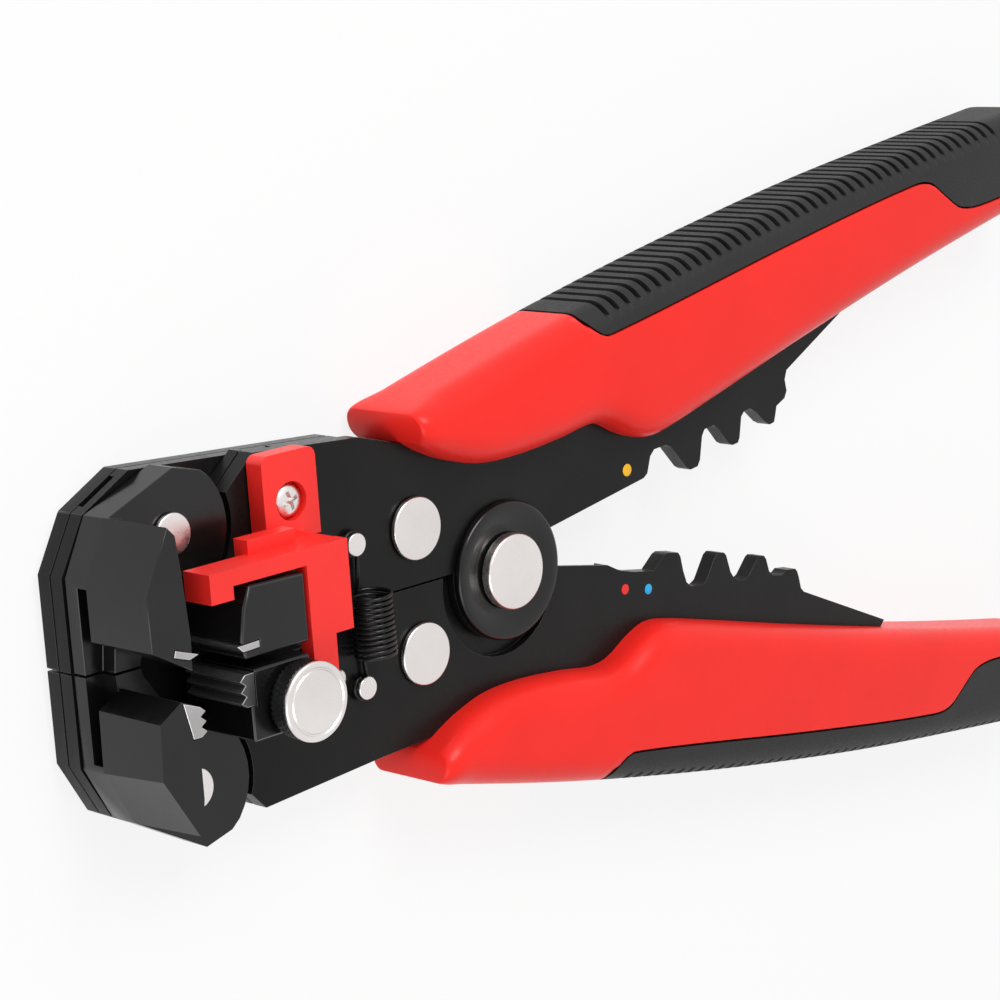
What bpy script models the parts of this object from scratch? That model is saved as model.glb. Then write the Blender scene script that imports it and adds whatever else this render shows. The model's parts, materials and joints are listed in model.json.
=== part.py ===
"""A self-adjusting wire stripper with crimping dies, lying on its back with the handles open.

X runs towards the handles, +Y to the upper handle and +Z out of the face with the stop and the knob.
The main pivot is the origin and the tool rests on z = 0. All sizes below are in millimetres.
"""

import math

import bmesh
import bpy
from mathutils import Vector

MM = 0.001

# Fits and rounding
FIT = 0.3
SLIP = 0.2
INSERT_FIT = 0.12
EDGE = 0.25
ROUND_SIDES = 20
LUG_SIDES = 36

# How far the handles stand open, each side of the closing line, and where the two arms meet
HALF_SQUEEZE = 10.5
SEAM_Y = 1.5

# The stack of plates, from the resting plane up
RIVET_BACK = 0.6
BACK_PLATE = 2.5
INNER_PLATE = 2.3
SPACER_PLATE = 2.0
LEVER_PLATE = 2.6
BACK_Z = RIVET_BACK + FIT
INNER_Z = BACK_Z + BACK_PLATE + FIT
SPACER_Z = INNER_Z + INNER_PLATE + FIT
LEVER_Z = SPACER_Z + SPACER_PLATE + FIT
FACE_Z = LEVER_Z + LEVER_PLATE
LAP_Z = LEVER_Z + LEVER_PLATE / 2

# The head, ahead of the pivot and away from the seam, the same for both arms
HEAD_FRONT = 74.8
CHEEK = 12.8
HEAD_SHOULDER = (70.6, 20.4)
HEAD_CROWN = (62.5, 24.8)
HEAD_TAIL = (25.5, 22.4)
HEAD_WAIST = (13.6, 15.2)
WAIST_REACH = 3.4
WAIST_ANGLE = 124
UPPER_LEVER_FRONT = (45.5, 24.4)
LOWER_LEVER_FRONT = (48.4, 24.4)
LEVER_TAIL = (26.5, 23.0)

# Pins and rivets: how far ahead of the pivot, and how far above or below it on either arm
PIVOT_HEAD_RADIUS = 5.6
PIVOT_PIN_RADIUS = 3.2
PIVOT_HEAD_THICK = 1.7
LUG_RADIUS = 10.3
COLLAR_THICK = 0.4
COLLAR_RIM = 0.6
CRESCENT = 1.1
RIVET_AHEAD = 7.0
RIVET_AT = (LUG_RADIUS + RIVET_AHEAD, 9.8, 8.5)
RIVET_HEAD_RADIUS = 4.55
RIVET_SHANK_RADIUS = 2.6
RIVET_HEAD_THICK = 0.8
POST_AT = (29.6, 10.1, 10.4)
POST_RADIUS = 1.1
POST_HEAD_RADIUS = 1.65
POST_HEAD_THICK = 0.5
HOOK_ROOM = 1.2
JAW_PIN_AT = (60.6, 17.9, 16.8)
JAW_PIN_RADIUS = 2.6
JAW_PIN_HEAD = 3.2
JAW_PIN_STAND = 0.7

# The swinging front jaws: the web about its pin, and the nose as it is at its foot and at its top
JAW_ROUND = 9.7
JAW_ROUND_RUN = (40, -100)
JAW_HOLLOW = 10.5
JAW_HOLLOW_RUN = (20, -74)
JAW_CROWN = ((1.4, 8.6), (6.0, 7.4))
JAW_WEB = 2.4
JAW_REACH = 12.05
JAW_TOP_Z = FACE_Z + JAW_REACH
TOE_BACK = 3.6
JAW_SET_BACK = 0.3
UPPER_NOSE_FOOT = (
    (-71.0, 22.2), (-74.8, 14.0), (-74.8, 6.6), (-66.6, 2.7), (-66.4, 7.3), (-67.6, 17.0), (-68.3, 21.4),
)
UPPER_NOSE = (
    (-70.5, 22.1), (-74.7, 13.8), (-74.6, 6.6), (-68.4, 3.0), (-68.2, 7.3), (-68.9, 16.9), (-69.3, 20.8),
)
LOWER_NOSE_FOOT = (
    (-70.8, -0.5), (-74.6, -2.6), (-74.8, -11.0), (-70.6, -18.9), (-68.0, -19.4), (-66.9, -15.0),
    (-67.2, -6.3),
)
LOWER_NOSE = (
    (-70.8, -0.6), (-74.4, -2.7), (-74.7, -10.2), (-69.6, -18.7), (-69.0, -18.4), (-68.4, -14.0),
    (-68.4, -6.3),
)
NOSE_FOOT = 0.2
CUTTER_TIP = (-67.2, 4.9)
CUTTER_HEEL = (-70.9, 6.2)
CUTTER_THICK = 0.9
INSERT_BACK = -70.4
INSERT_FOOT_BACK = -69.2
INSERT_TOP = -1.9
INSERT_BOTTOM = -5.9
TOOTH_TIP_X = -66.9
TOOTH_DEPTH = 0.9
TEETH = 3

# The rear jaws, which are fixed to the arms
UPPER_BLOCK = ((-60.1, 4.8), (-59.3, 9.1), (-58.0, 11.9), (-48.6, 11.6), (-48.6, 2.3), (-59.6, 2.3))
REAR_BLADE_TIP = (-60.8, 4.3)
REAR_BLADE_LENGTH = 3.7
REAR_BLADE_THICK = 0.9
LOWER_BLOCK_LEFT = -59.2
LOWER_BLOCK_RIGHT = -46.4
LOWER_BLOCK_TOP = 0.7
LOWER_BLOCK_BOTTOM = -8.9
LEDGE_DROP = 3.1
REAR_TOOTH_TIP_X = -60.9
REAR_INSERT_BACK = -58.5
REAR_INSERT_TOP = 0.4
REAR_INSERT_BOTTOM = -4.0

# The thumb knob on the lower arm
KNOB_AT = (-51.5, -4.7)
KNOB_RADIUS = 5.4
KNOB_THICK = 3.7
KNOB_CAP = 0.7
KNOB_FLUTES = 30
KNOB_FLUTE_DEPTH = 0.3
KNOB_SCREW_RADIUS = 1.2
KNOB_SCREW_END = FACE_Z + 4.0
LOCK_SCREW_AT = (-34.2, -8.2)
LOCK_SCREW_RADIUS = 1.5

# The red wire stop
STOP_TRAVEL = 4.0
TAB_LEFT = -47.1
TAB_RIGHT = -37.5
TAB_BOTTOM = 13.8
TAB_TOP = 25.8
TAB_THICK = 3.1
TAB_CORNER = 1.3
SHELF_TOP = 14.6
SHELF_THICK = 2.2
SHELF_RIGHT = -40.7
ARM_END = -64.5
ARM_BOTTOM = 10.6
ARM_NOTCH = -60.7
ARM_BACK_Z = FACE_Z + 6.9
STOP_TOP_Z = JAW_TOP_Z + 0.1
LEG_THICK = 2.4
LEG_LEFT = -48.1
LEG_BOTTOM = 2.3
LEG_TOE_RIGHT = -43.9
LEG_TOE_BOTTOM = -3.9
STEP_LEFT = -54.4
STEP_TOP = 16.6
STEP_THICK = 2.8
STOP_SCREW_AT = (-42.3, 19.0)
STOP_SCREW_RADIUS = 1.4
STOP_SCREW_HEAD = 2.3
SCREW_RECESS = 1.7
NUT_FLATS = 5.0

# The lever edges between pivot and grip, as distance along the closing line and distance from it
UPPER_EDGE = (
    (31.9, 1.8), (32.9, 2.2), (34.2, 4.5), (35.3, 5.2), (38.0, 4.9), (39.1, 4.1),
    (41.6, -0.2), (42.4, -0.9), (44.1, -1.0), (44.9, -0.2), (46.3, 3.2), (47.1, 4.0), (49.3, 3.9),
    (50.2, 3.0), (52.0, -0.2), (52.8, -0.8), (54.1, -0.9), (54.7, -0.2), (55.9, 2.8), (56.8, 3.4),
    (58.3, 3.3), (59.4, 2.3), (61.2, -0.1), (62.2, -0.9), (63.3, -0.9), (63.9, 0.2), (64.5, 1.4),
    (66.7, 1.9), (67.5, 2.9), (67.5, 4.8), (68.3, 6.1), (86.0, 11.2),
)
LOWER_EDGE = (
    (22.3, 0.0), (25.1, 0.9), (28.4, 1.2), (32.9, 1.2), (35.0, -1.1),
    (35.8, -1.5), (38.3, -1.5), (38.9, -0.9), (39.8, 1.4), (40.8, 3.2), (42.0, 3.9), (44.4, 3.9),
    (45.4, 3.2), (47.2, -0.7), (47.9, -1.25), (49.3, -1.2), (49.9, -0.7), (51.2, 1.9), (52.2, 2.9),
    (53.2, 3.3), (54.8, 3.3), (55.7, 2.7), (57.5, 0.0), (58.1, -0.45), (59.2, -0.45), (59.8, 0.1),
    (60.8, 2.1), (61.9, 2.8), (63.6, 2.9), (64.5, 2.6), (65.2, 2.0), (67.4, 1.9), (67.9, 2.3),
    (68.5, 3.4), (69.2, 5.1), (70.0, 5.7), (92.0, 11.2),
)
CUTTER_RISE = (2.3, -0.2)
CUTTER_STRETCH = (LUG_RADIUS + 1.7, LUG_RADIUS + 11.7)
CUTTER_GRIND = 0.9

# The grips, in the same two distances as the lever edges; PAD_HEIGHT is where shell and pad meet
PAD_HEIGHT = 27.4
GRIP_WIDTH = 17.2
GRIP_ROUND = 4.0
GRIP_TIP = -14.4
GRIP_END = 139.0
GRIP_INNER = (
    (GRIP_TIP, -2.2), (-12.0, -4.2), (-8.6, -6.6), (-3.0, -9.4), (4.0, -11.0), (13.0, -11.9),
    (20.0, -12.2), (23.5, -13.4), (27.5, -16.5), (31.0, -18.4), (35.0, -18.8), (45.0, -18.2),
    (69.0, -16.4), (96.0, -14.8), (120.0, -14.0), (GRIP_END, -13.7),
)
GRIP_OUTER = (
    (GRIP_TIP, 2.6), (-6.0, 3.4), (15.0, 4.7), (38.0, 5.4), (60.0, 5.5), (86.0, 5.0), (113.0, 3.6),
    (GRIP_END, 2.0),
)
TIP_RELIEF = 3.0
TIP_INSET = 1.4
END_RELIEF = 4.5
END_INSET = 2.6
SECTIONS = 23
PAD_DROP_AT = 104.5
PAD_EDGE = (
    (18.8, 9.6), (20.8, 4.4), (22.8, 1.4), (25.0, 0.4), (70.0, 0.2), (100.0, -0.5),
    (PAD_DROP_AT, -1.6), (107.8, -4.8), (111.3, -7.8), (118.5, -9.3), (GRIP_END + 2.0, -10.1),
)
RIB_START = 25.2
RIB_STOP = 126.0
RIB_PITCH = 2.75
RIB_GROOVE = 1.0
RIB_DEPTH = 1.0
RIB_SIDE = 1.2

# The tang that each lever has inside its grip
TANG_COVER = 2.4
TANG_WALL = 5.5
TANG_DEEP = 12.0
TANG_TAPER = 9.0
TANG_START = -11.0
TANG_MIDDLE = 10.0
TANG_END = PAD_DROP_AT - TANG_WALL
TANG_INNER = PAD_HEIGHT - TANG_DEEP
TANG_OUTER = PAD_HEIGHT - TANG_COVER

# The spring that pulls the arms together
COIL_AT = (-29.2, -1.1)
COIL_RADIUS = 2.75
WIRE_RADIUS = 0.3
COIL_TURNS = 12
COIL_LENGTH = 9.0
COIL_STEPS = 8

# The slot on the head's shoulder, and how deep joined forms overlap
SLOT_INSET = 1.5
SLOT_DEPTH = 3.0
SLOT_WIDTH = 1.0
OVERLAP = 0.05


def clear_scene():
    for obj in list(bpy.data.objects):
        bpy.data.objects.remove(obj, do_unlink=True)


def material(name, colour, roughness, metallic):
    made = bpy.data.materials.new(name)
    made.use_nodes = True
    shader = made.node_tree.nodes["Principled BSDF"]
    shader.inputs["Base Color"].default_value = (*colour, 1.0)
    shader.inputs["Roughness"].default_value = roughness
    shader.inputs["Metallic"].default_value = metallic
    return made


# Outlines

def turned_about(points, degrees, centre=(0.0, 0.0)):
    angle = math.radians(degrees)
    c, s = math.cos(angle), math.sin(angle)
    cx, cy = centre
    return [(cx + (x - cx) * c - (y - cy) * s, cy + (x - cx) * s + (y - cy) * c) for x, y in points]


def arc(centre, radius, start, stop, steps=12):
    """Points on an arc, in degrees, running from start to stop either way round."""
    angles = [math.radians(start + (stop - start) * i / steps) for i in range(steps + 1)]
    return [(centre[0] + radius * math.cos(a), centre[1] + radius * math.sin(a)) for a in angles]


def mirrored(points, side):
    return [(x, side * y) for x, y in points]


def opened(points, side):
    """Closed-handle distances to the open pose: side +1 is the upper lever and -1 the lower one."""
    return turned_about(mirrored(points, side), side * HALF_SQUEEZE)


def counter_clockwise(points):
    area = sum(a[0] * b[1] - b[0] * a[1] for a, b in zip(points, points[1:] + points[:1]))
    return points if area > 0 else points[::-1]


def grown(outline, amount):
    """The outline moved outwards by the same amount on every side, with mitred corners."""
    ring = counter_clockwise([p for p in outline])
    out = []
    for i, point in enumerate(ring):
        here = Vector(point)
        before = (here - Vector(ring[i - 1])).normalized()
        after = (Vector(ring[(i + 1) % len(ring)]) - here).normalized()
        first = Vector((before.y, -before.x))
        second = Vector((after.y, -after.x))
        mitre = first + second
        reach = amount / max(0.5, mitre.normalized().dot(first))
        out.append(tuple(here + mitre.normalized() * reach))
    return out


# Solids

def add_object(name, mesh, paint=None):
    obj = bpy.data.objects.new(name, mesh)
    bpy.context.scene.collection.objects.link(obj)
    if paint:
        mesh.materials.append(paint)
    return obj


def from_bmesh(name, bm, paint=None):
    bmesh.ops.recalc_face_normals(bm, faces=bm.faces)
    mesh = bpy.data.meshes.new(name)
    bm.to_mesh(mesh)
    bm.free()
    return add_object(name, mesh, paint)


def prism(name, outline, low, high, paint=None):
    """An outline in the XY plane, in millimetres, carried from one height to another."""
    outline = counter_clockwise(list(outline))
    bm = bmesh.new()
    floor = [bm.verts.new((x * MM, y * MM, low * MM)) for x, y in outline]
    base = bm.faces.new(floor[::-1])
    lifted = bmesh.ops.extrude_face_region(bm, geom=[base], use_keep_orig=True)
    top = [v for v in lifted["geom"] if isinstance(v, bmesh.types.BMVert)]
    bmesh.ops.translate(bm, verts=top, vec=(0, 0, (high - low) * MM))
    return from_bmesh(name, bm, paint)


def box(name, low, high, paint=None):
    outline = [(low[0], low[1]), (high[0], low[1]), (high[0], high[1]), (low[0], high[1])]
    return prism(name, outline, low[2], high[2], paint)


def turned(name, profile, at, paint=None, sides=ROUND_SIDES):
    """A closed profile of (radius, height) pairs, spun about the upright axis at a place."""
    bm = bmesh.new()
    rings = []
    for radius, height in profile:
        if radius < 1e-6:
            rings.append([bm.verts.new((at[0] * MM, at[1] * MM, height * MM))])
            continue
        ring = [
            bm.verts.new(((x + at[0]) * MM, (y + at[1]) * MM, height * MM))
            for x, y in arc((0, 0), radius, 0, 360, sides)[:-1]
        ]
        rings.append(ring)
    for low, high in zip(rings, rings[1:] + rings[:1]):
        if len(low) == 1 and len(high) == 1:
            continue
        for i in range(sides):
            j = (i + 1) % sides
            if len(low) == 1:
                bm.faces.new((low[0], high[j], high[i]))
            elif len(high) == 1:
                bm.faces.new((low[i], low[j], high[0]))
            else:
                bm.faces.new((low[i], low[j], high[j], high[i]))
    return from_bmesh(name, bm, paint)


def rod(name, at, radius, low, high, sides=ROUND_SIDES):
    return turned(name, [(0, low), (radius, low), (radius, high), (0, high)], at, None, sides)


def combine(obj, other, operation):
    """Joins, cuts or keeps the shared part with another object, which is then removed."""
    step = obj.modifiers.new(operation.lower(), "BOOLEAN")
    step.operation = operation
    step.solver = "EXACT"
    step.object = other
    graph = bpy.context.evaluated_depsgraph_get()
    mesh = bpy.data.meshes.new_from_object(obj.evaluated_get(graph))
    bm = bmesh.new()
    bm.from_mesh(mesh)
    bmesh.ops.remove_doubles(bm, verts=bm.verts, dist=2e-6)
    bmesh.ops.dissolve_degenerate(bm, edges=bm.edges, dist=1e-6)
    bm.to_mesh(mesh)
    bm.free()
    old = obj.data
    obj.modifiers.clear()
    obj.data = mesh
    bpy.data.meshes.remove(old)
    bpy.data.objects.remove(other, do_unlink=True)
    return obj


def cut(obj, *cutters):
    for cutter in cutters:
        combine(obj, cutter, "DIFFERENCE")
    return obj


def join(obj, *others):
    for other in others:
        combine(obj, other, "UNION")
    return obj


def soften(obj, width=EDGE, segments=1, angle=35):
    """A small bevel along the sharp edges."""
    step = obj.modifiers.new("edge", "BEVEL")
    step.width = width * MM
    step.segments = segments
    step.limit_method = "ANGLE"
    step.angle_limit = math.radians(angle)
    step.use_clamp_overlap = True
    return obj


def smooth_shade(obj, angle=35):
    obj.data.shade_smooth()
    obj.data.set_sharp_from_angle(angle=math.radians(angle))
    return obj


def place(at, side):
    """The place of a pin: ahead of the pivot, and above it on the upper arm or below it on the lower."""
    return (-at[0], at[1] if side > 0 else -at[2])


def from_seam(points, side):
    """Points given ahead of the pivot and away from the seam, on the upper or the lower arm."""
    return [(-x, SEAM_Y + side * away) for x, away in points]


def about_pin(points, side):
    pin = place(JAW_PIN_AT, side)
    return [(pin[0] + x, pin[1] + y) for x, y in points]


# Head plates

def seam(side):
    return SEAM_Y + side * FIT / 2


def seam_angle(side, radius):
    """Where the seam meets a circle about the pivot, in degrees, on the mirrored arm."""
    return 180 - math.degrees(math.asin(side * seam(side) / radius))


def pivot_end(side, has_lug):
    """The end of a head plate: all round its own lug, or hollow round the lug of the other arm."""
    if has_lug:
        end = arc((0, 0), LUG_RADIUS, seam_angle(side, LUG_RADIUS), 360 + WAIST_ANGLE, LUG_SIDES)
    else:
        radius = LUG_RADIUS + FIT
        end = arc((0, 0), radius, seam_angle(side, radius), WAIST_ANGLE, 8)
    corner = arc((0, 0), LUG_RADIUS + WAIST_REACH, WAIST_ANGLE, WAIST_ANGLE, 1)[:1]
    return mirrored(end + corner, side)


def head_outline(side, has_lug):
    edge = [HEAD_WAIST, HEAD_TAIL, HEAD_CROWN, HEAD_SHOULDER, (HEAD_FRONT, CHEEK)]
    return [(-HEAD_FRONT, seam(side)), *pivot_end(side, has_lug), *from_seam(edge, side)]


def arm_holes(side, low, high):
    """The cutters for the rivet, post and jaw pin that pass through a plate of the head."""
    return [
        rod("cutter", place(RIVET_AT, side), RIVET_SHANK_RADIUS + SLIP, low - 1, high + 1),
        rod("cutter", place(POST_AT, side), POST_RADIUS + SLIP, low - 1, high + 1, 16),
        rod("cutter", place(JAW_PIN_AT, side), JAW_PIN_RADIUS + SLIP, low - 1, high + 1),
    ]


def head_plate(name, side, low, thick, has_lug, paint):
    """One laminated plate of an arm, with a lug round the pivot or a notch round the other arm's lug."""
    high = low + thick
    plate = prism(name, head_outline(side, has_lug), low, high, paint)
    if has_lug:
        cut(plate, rod("cutter", (0, 0), PIVOT_PIN_RADIUS + SLIP, low - 1, high + 1))
    return cut(plate, *arm_holes(side, low, high))


def chamfer_slot(side):
    """The shallow slot that shows between the two back plates on the shoulder of the head."""
    (x0, y0), (x1, y1) = from_seam([HEAD_SHOULDER, HEAD_CROWN], side)
    along = Vector((x1 - x0, y1 - y0)).normalized()
    out = Vector((-along.y, along.x)) * side
    start = Vector((x0, y0)) + along * SLOT_INSET
    stop = Vector((x1, y1)) - along * SLOT_INSET
    corners = [start + out, stop + out, stop - out * SLOT_DEPTH, start - out * SLOT_DEPTH]
    return prism("cutter", [tuple(c) for c in corners], INNER_Z - FIT, INNER_Z + SLOT_WIDTH)


def jaw_hollow(side, steps=12):
    """The hollow in the lever and the spacer that the round web of the jaw swings in."""
    return about_pin(mirrored(arc((0, 0), JAW_HOLLOW, *JAW_HOLLOW_RUN, steps), side), side)


def lever_front(side):
    return UPPER_LEVER_FRONT if side > 0 else LOWER_LEVER_FRONT


def spacer_outline(side, has_lug):
    """The spacer only fills the room between the inner plate and the lever, behind the jaw."""
    hollow = jaw_hollow(side)
    edge = from_seam([HEAD_WAIST, HEAD_TAIL, lever_front(side)], side)
    return [(hollow[-1][0], seam(side)), *pivot_end(side, has_lug), *edge, *hollow]


def spacer_plate(name, side, paint):
    low, high = SPACER_Z, SPACER_Z + SPACER_PLATE
    plate = prism(name, spacer_outline(side, side < 0), low, high, paint)
    if side < 0:
        cut(plate, rod("cutter", (0, 0), PIVOT_PIN_RADIUS + SLIP, low - 1, high + 1))
    holes = arm_holes(side, low, high)
    bpy.data.objects.remove(holes.pop(), do_unlink=True)
    cut(plate, *holes)
    if side > 0:
        cut(plate, nut_room())
    return plate


# Levers

def lever_outline(side, edge):
    head = from_seam([LEVER_TAIL, lever_front(side)], side) + jaw_hollow(side)
    foot = (head[-1][0], seam(side))
    rise = CUTTER_RISE[0] if side > 0 else CUTTER_RISE[1]
    edge_angle = math.degrees(math.asin(rise / LUG_RADIUS))
    stop = 360 + HALF_SQUEEZE + edge_angle
    lug = mirrored(arc((0, 0), LUG_RADIUS, seam_angle(side, LUG_RADIUS), stop, LUG_SIDES - 6), side)
    handle = opened(list(edge) + [
        (TANG_END - TANG_TAPER, TANG_INNER - 1.2), (TANG_END, TANG_INNER), (TANG_END, TANG_OUTER),
        (TANG_MIDDLE, TANG_OUTER), (TANG_START, TANG_OUTER - 1.6),
    ], side)
    return head + [foot] + lug + handle


def crescent_outline():
    """Room for the other lever's lug, with a wider crescent on the side of the head."""
    near, wide = LUG_RADIUS + FIT, LUG_RADIUS + FIT + CRESCENT * 0.8
    points = []
    for x, y in arc((0, 0), 1.0, 4, 364, LUG_SIDES)[:-1]:
        towards = -CRESCENT * (x + y)
        reach = towards + math.sqrt(towards ** 2 - 2 * CRESCENT ** 2 + wide ** 2)
        points.append((x * max(near, reach), y * max(near, reach)))
    return points


def lever(name, side, edge, paint):
    """A lever plate: head, half-lapped lug on the pivot, cutter edge, crimping dies and tang."""
    plate = prism(name, lever_outline(side, edge), LEVER_Z, FACE_Z, paint)
    if side > 0:
        cut(plate, rod("cutter", (0, 0), LUG_RADIUS + FIT, LEVER_Z - 1, LAP_Z + FIT / 2, LUG_SIDES))
    else:
        cut(plate, prism("cutter", crescent_outline(), LAP_Z - FIT / 2, FACE_Z + 1))
    cut(plate, rod("cutter", (0, 0), PIVOT_PIN_RADIUS + SLIP, LEVER_Z - 1, FACE_Z + 1))
    holes = arm_holes(side, LEVER_Z, FACE_Z)
    bpy.data.objects.remove(holes.pop(), do_unlink=True)
    cut(plate, *holes)
    if side > 0:
        cut(plate, stop_slot("cutter", STOP_SCREW_RADIUS + SLIP, LEVER_Z - 1, FACE_Z + 1))
    cut(plate, cutter_grind(side, edge))
    return plate


def cutter_grind(side, edge):
    """The wedge that the cutter stretch loses on its far side, which leaves a sharp edge in front."""
    rise = CUTTER_RISE[0] if side > 0 else CUTTER_RISE[1]
    slope = (edge[0][1] - rise) / (edge[0][0] - LUG_RADIUS)
    bm = bmesh.new()
    corners = []
    for x in CUTTER_STRETCH:
        height = rise + slope * (x - LUG_RADIUS)
        section = [(height - 1.0, LEVER_Z - 0.5), (height + CUTTER_GRIND, LEVER_Z - 0.5),
                   (height - 0.1, FACE_Z - 0.5), (height - 1.0, FACE_Z - 0.5)]
        ring = []
        for away, z in section:
            px, py = opened([(x, away)], side)[0]
            ring.append(bm.verts.new((px * MM, py * MM, z * MM)))
        corners.append(ring)
    bm.faces.new(corners[0])
    bm.faces.new(corners[1][::-1])
    for i in range(4):
        j = (i + 1) % 4
        bm.faces.new((corners[0][i], corners[1][i], corners[1][j], corners[0][j]))
    return from_bmesh("cutter", bm)


def stop_slot(name, radius, low, high):
    """The room that the stop's screw needs over its travel, as a long hole along Y."""
    x, y = STOP_SCREW_AT
    outline = arc((x, y + STOP_TRAVEL), radius, 0, 180, 8) + arc((x, y), radius, 180, 360, 8)
    return prism(name, outline, low, high)


# Grips

def height_at(points, x):
    """The height of a smooth curve through the points, which run from left to right."""
    if x <= points[0][0]:
        return points[0][1]
    for i in range(len(points) - 1):
        (x0, h0), (x1, h1) = points[i], points[i + 1]
        if x > x1:
            continue
        before = points[i - 1] if i else points[i]
        after = points[i + 2] if i + 2 < len(points) else points[i + 1]
        m0 = (h1 - before[1]) / (x1 - before[0]) * (x1 - x0)
        m1 = (after[1] - h0) / (after[0] - x0) * (x1 - x0)
        t = (x - x0) / (x1 - x0)
        return (h0 * (2 * t ** 3 - 3 * t ** 2 + 1) + m0 * (t ** 3 - 2 * t ** 2 + t)
                + h1 * (3 * t ** 2 - 2 * t ** 3) + m1 * (t ** 3 - t ** 2))
    return points[-1][1]


def pad_region(side, grow):
    """Everything outward of the line between hard shell and soft pad."""
    line = [(x - grow * 0.3, PAD_HEIGHT + h - grow) for x, h in PAD_EDGE]
    beyond, above = GRIP_END * 1.1, PAD_HEIGHT * 1.6
    return opened(line + [(beyond, line[-1][1]), (beyond, above), (line[0][0], above)], side)


def rounded_off(distance, relief):
    """How far an end has shrunk at a distance from it: 1 at the very end and 0 past the relief."""
    share = min(1.0, max(0.0, distance / relief))
    return 1 - math.sqrt(1 - (1 - share) ** 2)


def grip_section(x):
    """The rounded box that a grip is at one distance along it, as (height, z) pairs."""
    tip = rounded_off(x - GRIP_TIP, TIP_RELIEF)
    end = rounded_off(GRIP_END - x, END_RELIEF)
    inner = PAD_HEIGHT + height_at(GRIP_INNER, x) + END_INSET * end + TIP_INSET * 0.25 * tip
    outer = PAD_HEIGHT + height_at(GRIP_OUTER, x) - END_INSET * end - TIP_INSET * 0.2 * tip
    low = END_INSET * 0.8 * end + TIP_INSET * tip
    high = GRIP_WIDTH - low
    radius = min(GRIP_ROUND, (outer - inner) * 0.42, (high - low) * 0.42)
    section = []
    for centre, start in (((outer - radius, high - radius), 0), ((inner + radius, high - radius), 90),
                          ((inner + radius, low + radius), 180), ((outer - radius, low + radius), 270)):
        section += arc(centre, radius, start, start + 90, 3)
    return section


def grip_stations():
    """Where the sections stand: close together at both ends and even between."""
    first, last = GRIP_TIP + TIP_RELIEF, GRIP_END - END_RELIEF
    near = [GRIP_TIP + TIP_RELIEF * k for k in (0.01, 0.06, 0.2, 0.45, 0.7)]
    middle = [first + (last - first) * i / SECTIONS for i in range(SECTIONS + 1)]
    far = [GRIP_END - END_RELIEF * k for k in (0.6, 0.3, 0.12, 0.03)]
    return near + middle + far


def grip_blank(name, side, paint):
    """A whole grip, lofted through sections along it, before it is split in shell and pad."""
    stops = grip_stations()
    bm = bmesh.new()
    rings = []
    for x in stops:
        ring = []
        for height, z in grip_section(x):
            px, py = opened([(x, height)], side)[0]
            ring.append(bm.verts.new((px * MM, py * MM, z * MM)))
        rings.append(ring)
    for low, high in zip(rings, rings[1:]):
        for i in range(len(low)):
            j = (i + 1) % len(low)
            bm.faces.new((low[i], low[j], high[j], high[i]))
    bm.faces.new(rings[0][::-1])
    bm.faces.new(rings[-1])
    return from_bmesh(name, bm, paint)


def tang_pocket(side, edge):
    """The slot in a grip for its lever, a fit larger all round."""
    return prism("cutter", grown(lever_outline(side, edge), FIT), LEVER_Z - FIT, FACE_Z + FIT)


def head_pocket(side):
    """Room at the grip's tip for the ends of the head plates."""
    corner = arc((0, 0), LUG_RADIUS + WAIST_REACH, WAIST_ANGLE, WAIST_ANGLE, 1)[:1]
    edge = from_seam([HEAD_CROWN, HEAD_TAIL, HEAD_WAIST], side) + mirrored(corner, side)
    inside = [(edge[-1][0], SEAM_Y), (edge[0][0], SEAM_Y)]
    return prism("cutter", grown(edge + inside, FIT + SLIP), -1.0, LEVER_Z)


def grip_shell(name, side, edge, paint):
    shell = grip_blank(name, side, paint)
    cut(shell, prism("cutter", pad_region(side, FIT), -5, GRIP_WIDTH + 5))
    cut(shell, tang_pocket(side, edge), head_pocket(side))
    return smooth_shade(shell)


def rib_cutters(side):
    """A comb of thin blocks across the outer face of the pad, joined into one cutting mesh."""
    bm = bmesh.new()
    count = int((RIB_STOP - RIB_START) / RIB_PITCH) + 1
    for i in range(count):
        x = RIB_START + i * RIB_PITCH
        height = PAD_HEIGHT + height_at(GRIP_OUTER, x)
        low, high = height - RIB_DEPTH, height + 3.0
        corners = opened([(x, low), (x + RIB_GROOVE, low), (x + RIB_GROOVE, high), (x, high)], side)
        corners = counter_clockwise(corners)
        floor = [bm.verts.new((px * MM, py * MM, RIB_SIDE * MM)) for px, py in corners]
        roof = [bm.verts.new((px * MM, py * MM, (GRIP_WIDTH - RIB_SIDE) * MM)) for px, py in corners]
        bm.faces.new(floor[::-1])
        bm.faces.new(roof)
        for j in range(4):
            k = (j + 1) % 4
            bm.faces.new((floor[j], floor[k], roof[k], roof[j]))
    return from_bmesh("cutter", bm)


def grip_pad(name, side, paint):
    pad = grip_blank(name, side, paint)
    combine(pad, prism("keeper", pad_region(side, 0.0), -5, GRIP_WIDTH + 5), "INTERSECT")
    cut(pad, rib_cutters(side))
    return smooth_shade(pad)


# Pins

def headed_pin(name, at, shank, head, head_low, head_high, back_head, paint):
    """A rivet or pin: flat back head on the resting plane, shank, and a chamfered front head."""
    chamfer = min(0.35, (head_high - head_low) * 0.45)
    profile = [
        (0, 0), (back_head, 0), (back_head, RIVET_BACK), (shank, RIVET_BACK), (shank, head_low),
        (head, head_low), (head, head_high - chamfer), (head - chamfer, head_high), (0, head_high),
    ]
    return smooth_shade(turned(name, profile, at, paint))


def pivot_pin(paint):
    low = FACE_Z + FIT + COLLAR_THICK + FIT
    return headed_pin("main_pivot_pin", (0, 0), PIVOT_PIN_RADIUS, PIVOT_HEAD_RADIUS,
                      low, low + PIVOT_HEAD_THICK, PIVOT_HEAD_RADIUS, paint)


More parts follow.
